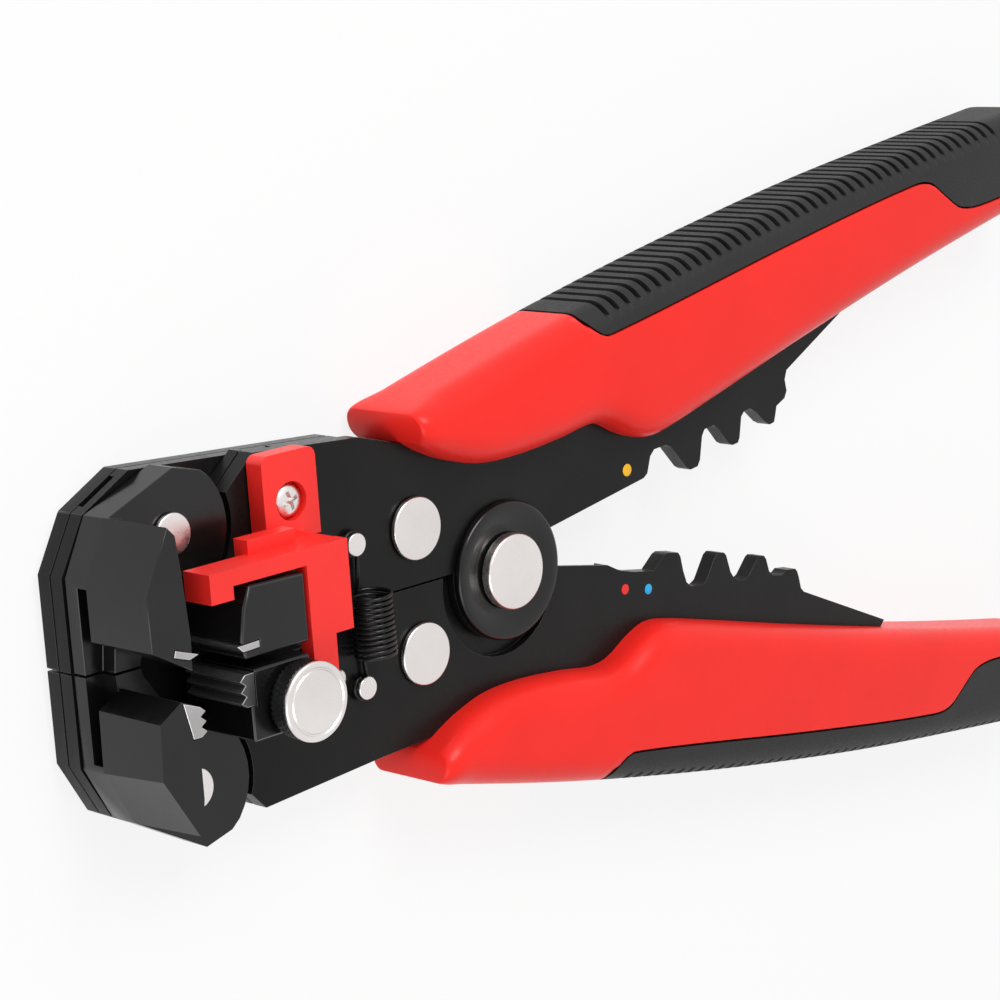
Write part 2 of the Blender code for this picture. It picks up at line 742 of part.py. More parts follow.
def pivot_collar(paint):
    base = FACE_Z + FIT
    floor = base + COLLAR_THICK
    rim = floor + COLLAR_RIM
    inner = PIVOT_PIN_RADIUS + SLIP
    dish = PIVOT_HEAD_RADIUS + 0.8
    profile = [
        (inner, base), (LUG_RADIUS, base), (LUG_RADIUS, floor), (LUG_RADIUS - 0.7, rim),
        (LUG_RADIUS - 1.5, rim), (dish, floor + 0.05), (dish - 0.3, floor), (inner, floor),
    ]
    return smooth_shade(turned("pivot_collar", profile, (0, 0), paint, LUG_SIDES))


def spring_post(name, side, paint):
    """A post that the spring hooks over, with a waist for the hook."""
    low = FACE_Z + HOOK_ROOM
    return headed_pin(name, place(POST_AT, side), POST_RADIUS, POST_HEAD_RADIUS,
                      low, low + POST_HEAD_THICK, POST_RADIUS + 1.0, paint)


def spring_path():
    """The wire's middle line: a loop over the upper post, the close coil and a loop over the lower post."""
    coil_x, coil_y = COIL_AT
    coil_z = FACE_Z + SLIP + WIRE_RADIUS + COIL_RADIUS
    loop_z = FACE_Z + HOOK_ROOM / 2 + WIRE_RADIUS / 4
    loop = POST_RADIUS + WIRE_RADIUS + FIT
    points = [(x, y, loop_z) for x, y in arc(place(POST_AT, 1), loop, 250, -70, 8)]
    for i in range(COIL_TURNS * COIL_STEPS + 1):
        a = math.radians(-90 + 360 * i / COIL_STEPS)
        y = coil_y + COIL_LENGTH / 2 - COIL_LENGTH * i / (COIL_TURNS * COIL_STEPS)
        points.append((coil_x + COIL_RADIUS * math.cos(a), y, coil_z + COIL_RADIUS * math.sin(a)))
    points += [(x, y, loop_z) for x, y in arc(place(POST_AT, -1), loop, 70, -250, 8)]
    return points


def return_spring(paint):
    """A close-wound extension spring with a loop over each post."""
    points = spring_path()
    curve = bpy.data.curves.new("return_spring", "CURVE")
    curve.dimensions = "3D"
    curve.bevel_depth = WIRE_RADIUS * MM
    curve.bevel_resolution = 0
    curve.use_fill_caps = True
    line = curve.splines.new("POLY")
    line.points.add(len(points) - 1)
    for spot, (x, y, z) in zip(line.points, points):
        spot.co = (x * MM, y * MM, z * MM, 1.0)
    return add_object("return_spring", curve, paint)


# Front jaws

def jaw_web(side):
    """The web of a front jaw: cheek, shoulder, crown, round about its pin, and toe at the seam."""
    front = -HEAD_FRONT + JAW_SET_BACK
    cheek = (front, SEAM_Y + side * CHEEK)
    crown = about_pin(mirrored(JAW_CROWN, side), side)
    ring = about_pin(mirrored(arc((0, 0), JAW_ROUND, *JAW_ROUND_RUN), side), side)
    neck = from_seam([(64.9, 4.4), (67.1, 1.2)], side)
    return [(front, seam(side)), cheek, *from_seam([HEAD_SHOULDER], side), *crown, *ring, *neck,
            (-67.4, seam(side))]


def tapered(name, foot, top, low, high):
    """A form whose outline changes from its foot to its top, as a casting's does."""
    bm = bmesh.new()
    rings = [[bm.verts.new((x * MM, y * MM, low * MM)) for x, y in foot]]
    rings.append([bm.verts.new((x * MM, y * MM, high * MM)) for x, y in top])
    bm.faces.new(rings[0])
    bm.faces.new(rings[1][::-1])
    for i in range(len(foot)):
        j = (i + 1) % len(foot)
        bm.faces.new((rings[0][i], rings[0][j], rings[1][j], rings[1][i]))
    bmesh.ops.triangulate(bm, faces=[f for f in bm.faces if len(f.verts) == 4])
    return from_bmesh(name, bm)


def front_jaw(name, side, foot, nose, paint):
    """A cast jaw: a web with a toe left standing at the seam, and the nose that reaches out."""
    jaw = prism(name, jaw_web(side), SPACER_Z, FACE_Z, paint)
    inner = HEAD_FRONT - TOE_BACK
    beyond, under, over = HEAD_FRONT + 10.0, -5.0, CHEEK - 1.0
    recess = [(beyond, under), (inner + 1.0, under), (inner, 3.8), (inner, over), (beyond, over)]
    recess = from_seam(recess, side)
    cut(jaw, prism("cutter", recess, SPACER_Z + JAW_WEB, FACE_Z + 1))
    join(jaw, tapered("nose", foot, nose, FACE_Z - NOSE_FOOT, JAW_TOP_Z))
    at = place(JAW_PIN_AT, side)
    cut(jaw, rod("cutter", at, JAW_PIN_RADIUS + SLIP, SPACER_Z - 1, FACE_Z + 1))
    return soften(jaw)


def bar_outline(tip, heel, thick):
    """A cutting bar seen from its end: a wedge whose sharp side is the tip."""
    along = (Vector(tip) - Vector(heel)).normalized()
    across = Vector((along.y, -along.x)) * thick
    shoulder = Vector(tip) - along * 1.3
    return [tuple(tip), tuple(shoulder + across), tuple(Vector(heel) + across), tuple(heel)]


def toothed(back, tip, top, bottom, depth, count):
    """An insert seen from its end: a straight back and teeth along the other side."""
    pitch = (top - bottom) / count
    side = 1 if tip > back else -1
    points = [(back, bottom), (back, top)]
    for i in range(count):
        y = top - i * pitch
        points.append((tip - side * depth, y))
        points.append((tip, y - pitch * 0.55))
    points.append((tip - side * depth, bottom))
    return points


def upper_jaw(paint, steel):
    jaw = front_jaw("upper_front_jaw", 1, UPPER_NOSE_FOOT, UPPER_NOSE, paint)
    bar = bar_outline(CUTTER_TIP, CUTTER_HEEL, CUTTER_THICK)
    cut(jaw, prism("cutter", grown(bar, INSERT_FIT), FACE_Z + 0.4, JAW_TOP_Z + 1))
    blade = prism("upper_cutter_blade", bar, FACE_Z + 0.6, JAW_TOP_Z, steel)
    return jaw, blade


def lower_jaw(paint, steel):
    jaw = front_jaw("lower_front_jaw", -1, LOWER_NOSE_FOOT, LOWER_NOSE, paint)
    back, bottom = INSERT_BACK - INSERT_FIT, INSERT_BOTTOM - INSERT_FIT
    foot = INSERT_FOOT_BACK - INSERT_FIT
    room = [(foot, bottom), (back, INSERT_TOP + 1.0), (back, 5.0), (-60.0, 5.0), (-60.0, bottom)]
    cut(jaw, prism("cutter", room, FACE_Z + 0.4, JAW_TOP_Z + 1))
    teeth = toothed(INSERT_BACK, TOOTH_TIP_X, INSERT_TOP, INSERT_BOTTOM, TOOTH_DEPTH, TEETH)
    teeth[:2] = [(INSERT_FOOT_BACK, INSERT_BOTTOM), (INSERT_BACK, INSERT_TOP + 1.0)]
    insert = prism("lower_jaw_insert", teeth, FACE_Z + 0.6, JAW_TOP_Z, steel)
    return jaw, insert


# Rear jaws

def upper_rear(paint, steel):
    block = prism("upper_rear_block", UPPER_BLOCK, FACE_Z + FIT, JAW_TOP_Z, paint)
    tip = REAR_BLADE_TIP
    heel = (tip[0] + REAR_BLADE_LENGTH, tip[1] + 0.1)
    bar = [tip, (tip[0] + 0.9, tip[1] - REAR_BLADE_THICK), (heel[0], heel[1] - REAR_BLADE_THICK), heel]
    cut(soften(block), prism("cutter", grown(bar, INSERT_FIT), FACE_Z + 0.8, JAW_TOP_Z + 1))
    blade = prism("upper_rear_blade", bar, FACE_Z + 0.9, JAW_TOP_Z, steel)
    return block, blade


def lower_rear(paint, steel):
    """The block under the knob, stepped down where the leg of the stop passes in front of it."""
    base = [(LOWER_BLOCK_LEFT, LOWER_BLOCK_BOTTOM), (LOWER_BLOCK_RIGHT, LOWER_BLOCK_BOTTOM),
            (LOWER_BLOCK_RIGHT, LOWER_BLOCK_TOP), (LOWER_BLOCK_LEFT, LOWER_BLOCK_TOP)]
    block = prism("lower_rear_block", base, FACE_Z + FIT, JAW_TOP_Z, paint)
    past = LEG_LEFT - FIT * 2
    ledge = [(past, -30.0), (0.0, -30.0), (0.0, 30.0), (past, 30.0)]
    cut(block, prism("cutter", ledge, JAW_TOP_Z - LEDGE_DROP, JAW_TOP_Z + 1))
    back, bottom = REAR_INSERT_BACK + INSERT_FIT, REAR_INSERT_BOTTOM - INSERT_FIT
    notch = [(-70.0, bottom), (back, bottom), (back, 5.0), (-70.0, 5.0)]
    soften(block)
    cut(block, prism("cutter", notch, FACE_Z + 0.8, JAW_TOP_Z + 1))
    cut(block, rod("cutter", KNOB_AT, KNOB_SCREW_RADIUS + SLIP, KNOB_SCREW_END - FIT, JAW_TOP_Z + 1, 20))
    teeth = toothed(REAR_INSERT_BACK, REAR_TOOTH_TIP_X, REAR_INSERT_TOP, REAR_INSERT_BOTTOM,
                    TOOTH_DEPTH, TEETH)
    insert = prism("lower_rear_insert", teeth, FACE_Z + 0.9, JAW_TOP_Z, steel)
    return block, insert


# Knob

def knob(black, nickel):
    """The knurled knob, its screw and its bright cap."""
    low = STOP_TOP_Z + FIT
    high = low + KNOB_THICK
    ring = []
    for i in range(KNOB_FLUTES * 2):
        radius = KNOB_RADIUS - (KNOB_FLUTE_DEPTH if i % 2 else 0)
        a = math.pi * i / KNOB_FLUTES
        ring.append((KNOB_AT[0] + radius * math.cos(a), KNOB_AT[1] + radius * math.sin(a)))
    body = prism("adjuster_knob", ring, low, high - KNOB_CAP - SLIP, black)
    join(body, rod("screw", KNOB_AT, KNOB_SCREW_RADIUS, KNOB_SCREW_END, low + 1.0, 20))
    lip = high - 0.35
    profile = [
        (0, high - KNOB_CAP), (KNOB_RADIUS, high - KNOB_CAP), (KNOB_RADIUS, lip), (KNOB_RADIUS - 0.35, high),
        (KNOB_RADIUS * 0.74, high), (KNOB_RADIUS * 0.70, high - 0.25), (KNOB_RADIUS * 0.66, high), (0, high),
    ]
    cap = smooth_shade(turned("knob_cap", profile, KNOB_AT, nickel, KNOB_FLUTES))
    return body, cap


# Wire stop

def wire_stop(paint):
    """Tab, shelf, arm over the blades and leg, moulded as one piece."""
    tab_low = FACE_Z + FIT
    tab_high = FACE_Z + FIT + TAB_THICK
    corners = [(TAB_LEFT, TAB_BOTTOM), (TAB_RIGHT, TAB_BOTTOM)]
    corners += arc((TAB_RIGHT - TAB_CORNER, TAB_TOP - TAB_CORNER), TAB_CORNER, 0, 90, 4)
    corners += arc((TAB_LEFT + TAB_CORNER, TAB_TOP - TAB_CORNER), TAB_CORNER, 90, 180, 4)
    stop = prism("wire_stop", corners, tab_low, tab_high, paint)
    step_z = ARM_BACK_Z - STEP_THICK * 0.6
    step = box("step", (STEP_LEFT, SHELF_TOP - 1, step_z), (TAB_LEFT + 1, STEP_TOP, step_z + STEP_THICK))
    front = [
        (ARM_END, ARM_BOTTOM), (ARM_NOTCH, ARM_BOTTOM), (ARM_NOTCH, SHELF_TOP - SHELF_THICK),
        (LEG_LEFT, SHELF_TOP - SHELF_THICK), (LEG_LEFT, LEG_TOE_BOTTOM),
        (LEG_TOE_RIGHT, LEG_TOE_BOTTOM), (LEG_TOE_RIGHT, LEG_BOTTOM), (SHELF_RIGHT, LEG_BOTTOM),
        (SHELF_RIGHT, SHELF_TOP), (ARM_END, SHELF_TOP),
    ]
    front = prism("front", front, STOP_TOP_Z - LEG_THICK, STOP_TOP_Z)
    back = [(ARM_END, ARM_BOTTOM), (ARM_NOTCH, ARM_BOTTOM), (ARM_NOTCH, SHELF_TOP - SHELF_THICK),
            (TAB_LEFT, SHELF_TOP - SHELF_THICK), (TAB_LEFT, SHELF_TOP), (ARM_END, SHELF_TOP)]
    arm = prism("arm", back, ARM_BACK_Z, STOP_TOP_Z - LEG_THICK + OVERLAP)
    shelf = box("shelf", (LEG_LEFT + OVERLAP, SHELF_TOP - SHELF_THICK + OVERLAP, tab_low + OVERLAP),
                (SHELF_RIGHT - OVERLAP, SHELF_TOP - OVERLAP, STOP_TOP_Z - OVERLAP))
    join(front, arm, shelf, step)
    join(stop, front)
    head = STOP_SCREW_HEAD + FIT + 0.1
    cut(stop, rod("cutter", STOP_SCREW_AT, head, tab_high - SCREW_RECESS, tab_high + 1))
    cut(stop, rod("cutter", STOP_SCREW_AT, STOP_SCREW_RADIUS + SLIP, tab_low - 1, tab_high + 1, 20))
    return soften(stop, 0.45)


def stop_screw(paint):
    seat = FACE_Z + FIT + TAB_THICK - SCREW_RECESS + SLIP
    x, y = STOP_SCREW_AT
    profile = [
        (0, SPACER_Z + 0.1), (STOP_SCREW_RADIUS, SPACER_Z + 0.1), (STOP_SCREW_RADIUS, seat),
        (STOP_SCREW_HEAD, seat), (STOP_SCREW_HEAD, seat + 0.8), (STOP_SCREW_HEAD - 0.6, seat + 1.3),
        (0, seat + 1.4),
    ]
    screw = turned("stop_screw", profile, (x, y), paint, 24)
    for along, across in ((1.3, 0.28), (0.28, 1.3)):
        cut(screw, box("cutter", (x - along, y - across, seat + 0.6), (x + along, y + across, seat + 2)))
    return smooth_shade(screw)


def stop_nut(paint):
    radius = NUT_FLATS / math.sqrt(3)
    outline = arc(STOP_SCREW_AT, radius, 0, 360, 6)[:-1]
    nut = prism("stop_nut", outline, SPACER_Z + SLIP, LEVER_Z - SLIP, paint)
    return cut(nut, rod("cutter", STOP_SCREW_AT, STOP_SCREW_RADIUS + 0.1, SPACER_Z - 1, LEVER_Z + 1, 20))


def lock_screw(paint):
    low, rim, high = FACE_Z + SLIP, FACE_Z + 0.7, FACE_Z + 0.9
    radius = LOCK_SCREW_RADIUS
    profile = [(0, low), (radius, low), (radius, rim), (radius - 0.4, high), (0, high)]
    return smooth_shade(turned("adjuster_lock_screw", profile, LOCK_SCREW_AT, paint, 20))


def nut_room():
    x, y = STOP_SCREW_AT
    half = NUT_FLATS / 2 + FIT
    reach = NUT_FLATS / math.sqrt(3) + FIT
    return box("cutter", (x - reach, y - half, SPACER_Z - 0.5), (x + reach, y + half + STOP_TRAVEL, LEVER_Z))


# Assembly

def build():
    clear_scene()
    black = material("black_oxide_steel", (0.022, 0.022, 0.024), 0.32, 0.6)
    cast = material("black_casting", (0.03, 0.03, 0.032), 0.3, 0.4)
    nickel = material("nickel", (0.78, 0.74, 0.72), 0.28, 1.0)
    bright = material("ground_steel", (0.55, 0.55, 0.55), 0.35, 1.0)
    red = material("red_plastic", (0.9, 0.04, 0.03), 0.38, 0.0)
    rubber = material("black_rubber", (0.02, 0.02, 0.022), 0.75, 0.0)
    spring_steel = material("spring_steel", (0.05, 0.05, 0.05), 0.35, 0.8)

    for side, word in ((1, "upper"), (-1, "lower")):
        head_plate(f"{word}_back_plate", side, BACK_Z, BACK_PLATE, side < 0, black)
        inner = head_plate(f"{word}_inner_plate", side, INNER_Z, INNER_PLATE, side > 0, black)
        cut(inner, chamfer_slot(side))
        spacer_plate(f"{word}_spacer_plate", side, black)
        edge = UPPER_EDGE if side > 0 else LOWER_EDGE
        lever(f"{word}_lever", side, edge, black)
        grip_shell(f"{word}_grip_shell", side, edge, red)
        grip_pad(f"{word}_grip_pad", side, rubber)
        rivet_low = FACE_Z + SLIP
        headed_pin(f"{word}_arm_rivet", place(RIVET_AT, side), RIVET_SHANK_RADIUS, RIVET_HEAD_RADIUS,
                   rivet_low, rivet_low + RIVET_HEAD_THICK, RIVET_HEAD_RADIUS, nickel)
        spring_post(f"{word}_spring_post", side, nickel)
        headed_pin(f"{word}_jaw_pin", place(JAW_PIN_AT, side), JAW_PIN_RADIUS, JAW_PIN_HEAD - 0.3,
                   FACE_Z + SLIP, FACE_Z + SLIP + JAW_PIN_STAND, JAW_PIN_HEAD, nickel)

    pivot_pin(nickel)
    pivot_collar(cast)
    return_spring(spring_steel)
    upper_jaw(cast, bright)
    lower_jaw(cast, bright)
    upper_rear(cast, bright)
    lower_rear(cast, bright)
    knob(cast, nickel)
    wire_stop(red)
    stop_screw(nickel)
    stop_nut(nickel)
    lock_screw(nickel)


build()
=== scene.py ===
"""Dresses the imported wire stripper: finishes, fine forms, camera, floor and lights.

Lengths are millimetres in the named values and metres in the meshes. X runs towards the handles, +Y to
the upper handle and +Z out of the face with the stop and the knob, with the main pivot at the origin.
"""

import json
import math

import bmesh
import bpy
from mathutils import Matrix, Vector


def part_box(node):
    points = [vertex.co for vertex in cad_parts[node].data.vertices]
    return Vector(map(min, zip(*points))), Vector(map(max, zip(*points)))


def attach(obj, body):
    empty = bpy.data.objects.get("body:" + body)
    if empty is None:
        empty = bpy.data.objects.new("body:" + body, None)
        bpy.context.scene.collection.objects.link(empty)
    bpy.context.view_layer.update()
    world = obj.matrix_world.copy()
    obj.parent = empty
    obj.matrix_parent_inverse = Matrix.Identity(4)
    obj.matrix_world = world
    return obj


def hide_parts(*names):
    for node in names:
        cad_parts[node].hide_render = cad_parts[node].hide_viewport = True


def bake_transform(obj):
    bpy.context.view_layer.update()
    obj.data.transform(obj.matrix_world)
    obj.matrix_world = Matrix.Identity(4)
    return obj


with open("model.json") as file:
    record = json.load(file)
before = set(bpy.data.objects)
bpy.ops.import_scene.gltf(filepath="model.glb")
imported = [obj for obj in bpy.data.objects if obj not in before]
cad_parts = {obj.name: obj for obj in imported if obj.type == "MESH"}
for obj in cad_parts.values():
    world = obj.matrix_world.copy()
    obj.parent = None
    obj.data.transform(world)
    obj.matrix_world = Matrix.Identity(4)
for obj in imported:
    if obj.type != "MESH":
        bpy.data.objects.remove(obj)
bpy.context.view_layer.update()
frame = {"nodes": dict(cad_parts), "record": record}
nodes = frame["nodes"]
BODY_OF = {name: body for body, names in frame["record"]["behaviour"]["bodies"].items() for name in names}

MM = 0.001


def top_of(node):
    """The highest point of a CAD node, in millimetres."""
    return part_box(node)[1][2] / MM


def centre_of(node):
    """The middle of a CAD node seen from the front, in millimetres."""
    low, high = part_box(node)
    return ((low[0] + high[0]) / 2 / MM, (low[1] + high[1]) / 2 / MM)


# The camera, from the photograph: place in millimetres, and the picture's right and up directions
CAMERA_AT = (-298.2, 100.8, 313.9)
CAMERA_RIGHT = (0.70062, -0.06677, 0.7104)
CAMERA_UP = (0.1944, 0.97581, -0.10001)
CAMERA_LENS = 108.0

# Driving sizes of the pieces that are dressed here
HALF_SQUEEZE = 10.5
FACE_Z = top_of("upper_lever")
GRIP_WIDTH = 17.2
EDGE = 0.25
SEAM_GAP = 0.18

# The grips, as distance along the closing line and height from PAD_HEIGHT, where shell and pad meet
PAD_HEIGHT = 27.4
GRIP_TIP = -14.4
GRIP_END = 139.0
GRIP_ROUND = 4.4
GRIP_CROWN = 0.35
GRIP_INNER = (
    (GRIP_TIP, -2.2), (-12.0, -4.2), (-8.6, -6.6), (-3.0, -9.4), (4.0, -11.0), (13.0, -11.9),
    (20.0, -12.2), (23.5, -13.4), (27.5, -16.5), (31.0, -18.4), (35.0, -18.8), (45.0, -18.2),
    (69.0, -16.4), (96.0, -14.8), (120.0, -14.0), (GRIP_END, -13.7),
)
GRIP_OUTER = (
    (GRIP_TIP, 2.6), (-6.0, 3.4), (15.0, 4.7), (38.0, 5.4), (60.0, 5.5), (86.0, 5.0), (113.0, 3.6),
    (GRIP_END, 2.0),
)
PAD_EDGE = (
    (18.8, 9.6), (20.8, 4.4), (22.8, 1.4), (25.0, 0.4), (70.0, 0.2), (100.0, -0.5),
    (104.5, -1.6), (107.8, -4.8), (111.3, -7.8), (118.5, -9.3), (GRIP_END + 2.0, -10.1),
)
TIP_RELIEF = 3.0
TIP_INSET = 1.4
END_RELIEF = 4.5
END_INSET = 2.6
RIB_START = 25.2
RIB_STOP = 126.0
RIB_PITCH = 2.4
RIB_GROOVE = 1.0
RIB_DEPTH = 1.0
RIB_WRAP = {1: 2.2, -1: 1.1}
PAD_FRONT = 18.6
PAD_FRONT_STEP = 0.3
PAD_THINNEST = 0.6
SHELL_SECTIONS = 110
CORNER_STEPS = 8
SIDE_STEPS = 7


# Materials

def new_material(name):
    made = bpy.data.materials.new(name)
    made.use_nodes = True
    tree = made.node_tree
    return made, tree, tree.nodes["Principled BSDF"]


def add(tree, kind, **values):
    """A shader node with its properties or its input values set."""
    node = tree.nodes.new(kind)
    for key, value in values.items():
        if hasattr(node, key):
            setattr(node, key, value)
        else:
            node.inputs[key.replace("_", " ")].default_value = value
    return node


def noise(tree, scale, detail, stretch=(1, 1, 1)):
    """Noise in the object's own coordinates, which are the part's frame."""
    where = add(tree, "ShaderNodeTexCoord")
    mapping = add(tree, "ShaderNodeMapping")
    mapping.inputs["Scale"].default_value = stretch
    node = add(tree, "ShaderNodeTexNoise", Scale=scale, Detail=detail)
    tree.links.new(where.outputs["Object"], mapping.inputs["Vector"])
    tree.links.new(mapping.outputs["Vector"], node.inputs["Vector"])
    return node.outputs["Fac"]


def ramp(tree, source, low, high, first, second):
    """Maps a 0 to 1 value between two colours."""
    node = add(tree, "ShaderNodeValToRGB")
    node.color_ramp.elements[0].position = low
    node.color_ramp.elements[1].position = high
    node.color_ramp.elements[0].color = (*first, 1)
    node.color_ramp.elements[1].color = (*second, 1)
    tree.links.new(source, node.inputs["Fac"])
    return node.outputs["Color"]


def grey(value):
    return (value, value, value)


def surface(name, first, second, rough, metallic=0.0, grain=900.0, relief=0.02, stretch=(1, 1, 1),
            specular=0.5, coat=0.0):
    """A finish whose colour and roughness vary gently, with a fine relief in millimetres."""
    made, tree, shader = new_material(name)
    clouds = noise(tree, 60.0, 4.0)
    fine = noise(tree, grain, 3.0, stretch)
    tree.links.new(ramp(tree, clouds, 0.35, 0.65, first, second), shader.inputs["Base Color"])
    tree.links.new(ramp(tree, fine, 0.3, 0.7, grey(rough[0]), grey(rough[1])), shader.inputs["Roughness"])
    bumps = add(tree, "ShaderNodeBump", Strength=0.25, Distance=relief * MM)
    tree.links.new(fine, bumps.inputs["Height"])
    tree.links.new(bumps.outputs["Normal"], shader.inputs["Normal"])
    shader.inputs["Metallic"].default_value = metallic
    shader.inputs["Specular IOR Level"].default_value = specular
    shader.inputs["Coat Weight"].default_value = coat
    shader.inputs["Coat Roughness"].default_value = 0.12
    return made


def tints(colour, spread=0.12):
    return tuple(c * (1 - spread) for c in colour), tuple(c * (1 + spread) for c in colour)


steel_black = surface("black_steel_finish", *tints((0.0060, 0.0055, 0.0054), 0.3), (0.26, 0.38), grain=1400.0,
                      specular=0.17)
# A lighter copy of the black steel, for the beveled edges: a painted highlight.
steel_painted_highlight_edge = surface("black_steel_edge", *tints((0.018, 0.018, 0.018), 0.3), (0.22, 0.34), specular=0.4)
cast_black = surface("black_cast_finish", *tints((0.0058, 0.0056, 0.0056), 0.3), (0.16, 0.26), grain=500.0,
                     specular=0.36, relief=0.03)
# A lighter copy of the black casting, for the beveled edges: a painted highlight.
cast_painted_highlight_edge = surface("black_cast_edge", *tints((0.026, 0.026, 0.028), 0.3), (0.16, 0.26), specular=0.5)
ground = surface("ground_steel_finish", (0.40, 0.39, 0.39), (0.52, 0.51, 0.51), (0.26, 0.42), 1.0,
                 grain=700.0, stretch=(1, 1, 12))
nickel = surface("nickel_finish", (0.70, 0.665, 0.65), (0.78, 0.745, 0.73), (0.24, 0.36), 1.0, grain=1200.0)
# A lighter copy of the nickel, for the beveled edges: a painted highlight.
nickel_painted_highlight_edge = surface("nickel_painted_highlight_edge", (0.80, 0.77, 0.75), (0.86, 0.83, 0.81), (0.18, 0.28), 1.0)
dark_steel = surface("dark_insert_finish", *tints((0.10, 0.10, 0.10), 0.15), (0.3, 0.45), 0.8, grain=700.0,
                     specular=0.3)
red = surface("red_plastic_finish", *tints((0.96, 0.024, 0.017), 0.03), (0.30, 0.40), grain=1500.0,
              specular=0.25)
red_stop = surface("red_stop_finish", *tints((0.95, 0.024, 0.018), 0.04), (0.34, 0.46), grain=1500.0)
rubber = surface("rubber_finish", *tints((0.0098, 0.0094, 0.0096), 0.2), (0.46, 0.6), grain=2500.0,
                 relief=0.05, specular=0.34)
skirt = surface("knob_skirt_finish", *tints((0.012, 0.012, 0.013), 0.2), (0.3, 0.42), grain=1500.0,
                specular=0.45)
spring_wire = surface("spring_wire_finish", *tints((0.014, 0.013, 0.013), 0.3), (0.24, 0.34), 0.6)
yellow_paint = surface("yellow_dot_finish", *tints((0.92, 0.52, 0.015), 0.05), (0.4, 0.5))
blue_paint = surface("blue_dot_finish", *tints((0.015, 0.40, 0.80), 0.05), (0.4, 0.5))
red_paint = surface("red_dot_finish", *tints((0.80, 0.02, 0.016), 0.05), (0.4, 0.5))

BLADES = ("upper_cutter_blade", "lower_jaw_insert", "upper_rear_blade", "lower_rear_insert")
CASTINGS = ("upper_front_jaw", "lower_front_jaw", "upper_rear_block", "lower_rear_block")


def finishes_of(name):
    """The finish of a CAD node's faces and of its softened edges, and how wide those edges are. Most edge
    finishes are lighter copies of the face finish, a painted highlight along the edges.
    """
    if name.endswith("_plate") or name.endswith("_lever"):
        return steel_black, steel_painted_highlight_edge, EDGE
    if name in CASTINGS:
        return cast_black, cast_painted_highlight_edge, 0.3
    if name == "lower_rear_insert":
        return dark_steel, ground, 0.08
    if name in BLADES:
        return ground, nickel_painted_highlight_edge, 0.08
    if name == "wire_stop":
        return red_stop, red_stop, 0.35
    return nickel, nickel_painted_highlight_edge, 0.12


def dress_nodes():
    """Gives each CAD node its finish, and a small round along its edges that catches the light, in a lighter
    finish that is a painted highlight.
    """
    for name, obj in nodes.items():
        face, edge, width = finishes_of(name)
        obj.data.materials.clear()
        obj.data.materials.append(face)
        obj.data.materials.append(edge)
        weld = obj.modifiers.new("weld", "WELD")
        weld.merge_threshold = 0.01 * MM
        bevel = obj.modifiers.new("edge", "BEVEL")
        bevel.width = width * MM
        bevel.segments = 2
        bevel.limit_method = "ANGLE"
        bevel.angle_limit = math.radians(32)
        # The bevel faces take the second slot, the lighter edge finish: a painted highlight.
        bevel.material = 1
        bevel.use_clamp_overlap = True
        bevel.miter_outer = "MITER_ARC"
        normals = obj.modifiers.new("normals", "WEIGHTED_NORMAL")
        normals.weight = 100
        normals.keep_sharp = False


dress_nodes()


# Helpers for new pieces

def opened(x, height, side):
    """Distances along and from the closing line, in the open pose of the upper (+1) or lower (-1) arm."""
    angle = math.radians(side * HALF_SQUEEZE)
    y = side * height
    return (x * math.cos(angle) - y * math.sin(angle), x * math.sin(angle) + y * math.cos(angle))


def arc(centre, radius, start, stop, steps):
    angles = [math.radians(start + (stop - start) * i / steps) for i in range(steps + 1)]
    return [(centre[0] + radius * math.cos(a), centre[1] + radius * math.sin(a)) for a in angles]


def curve_height(points, x):
    """The height of a smooth curve through the points, which run from left to right."""
    if x <= points[0][0]:
        return points[0][1]
    for i in range(len(points) - 1):
        (x0, h0), (x1, h1) = points[i], points[i + 1]
        if x > x1:
            continue
        before = points[i - 1] if i else points[i]
        after = points[i + 2] if i + 2 < len(points) else points[i + 1]
        m0 = (h1 - before[1]) / (x1 - before[0]) * (x1 - x0)
        m1 = (after[1] - h0) / (after[0] - x0) * (x1 - x0)
        t = (x - x0) / (x1 - x0)
        return (h0 * (2 * t ** 3 - 3 * t ** 2 + 1) + m0 * (t ** 3 - 2 * t ** 2 + t)
                + h1 * (3 * t ** 2 - 2 * t ** 3) + m1 * (t ** 3 - t ** 2))
    return points[-1][1]


def add_piece(name, mesh, paint, body, smooth=35):
    mesh.materials.append(paint)
    mesh.shade_smooth()
    mesh.set_sharp_from_angle(angle=math.radians(smooth))
    obj = bpy.data.objects.new(name, mesh)
    bpy.context.scene.collection.objects.link(obj)
    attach(obj, body)
    return obj


def from_bmesh(name, bm, paint, body, smooth=35):
    bmesh.ops.recalc_face_normals(bm, faces=bm.faces)
    mesh = bpy.data.meshes.new(name)
    bm.to_mesh(mesh)
    bm.free()
    return add_piece(name, mesh, paint, body, smooth)


def loft(name, rings, paint, body, smooth=35):
    """A closed skin through rings of points, which are in millimetres, with a flat cap at each end."""
    bm = bmesh.new()
    made = [[bm.verts.new(Vector(point) * MM) for point in ring] for ring in rings]
    for low, high in zip(made, made[1:]):
        for i in range(len(low)):
            j = (i + 1) % len(low)
            bm.faces.new((low[i], low[j], high[j], high[i]))
    bm.faces.new(made[0][::-1])
    bm.faces.new(made[-1])
    return from_bmesh(name, bm, paint, body, smooth)


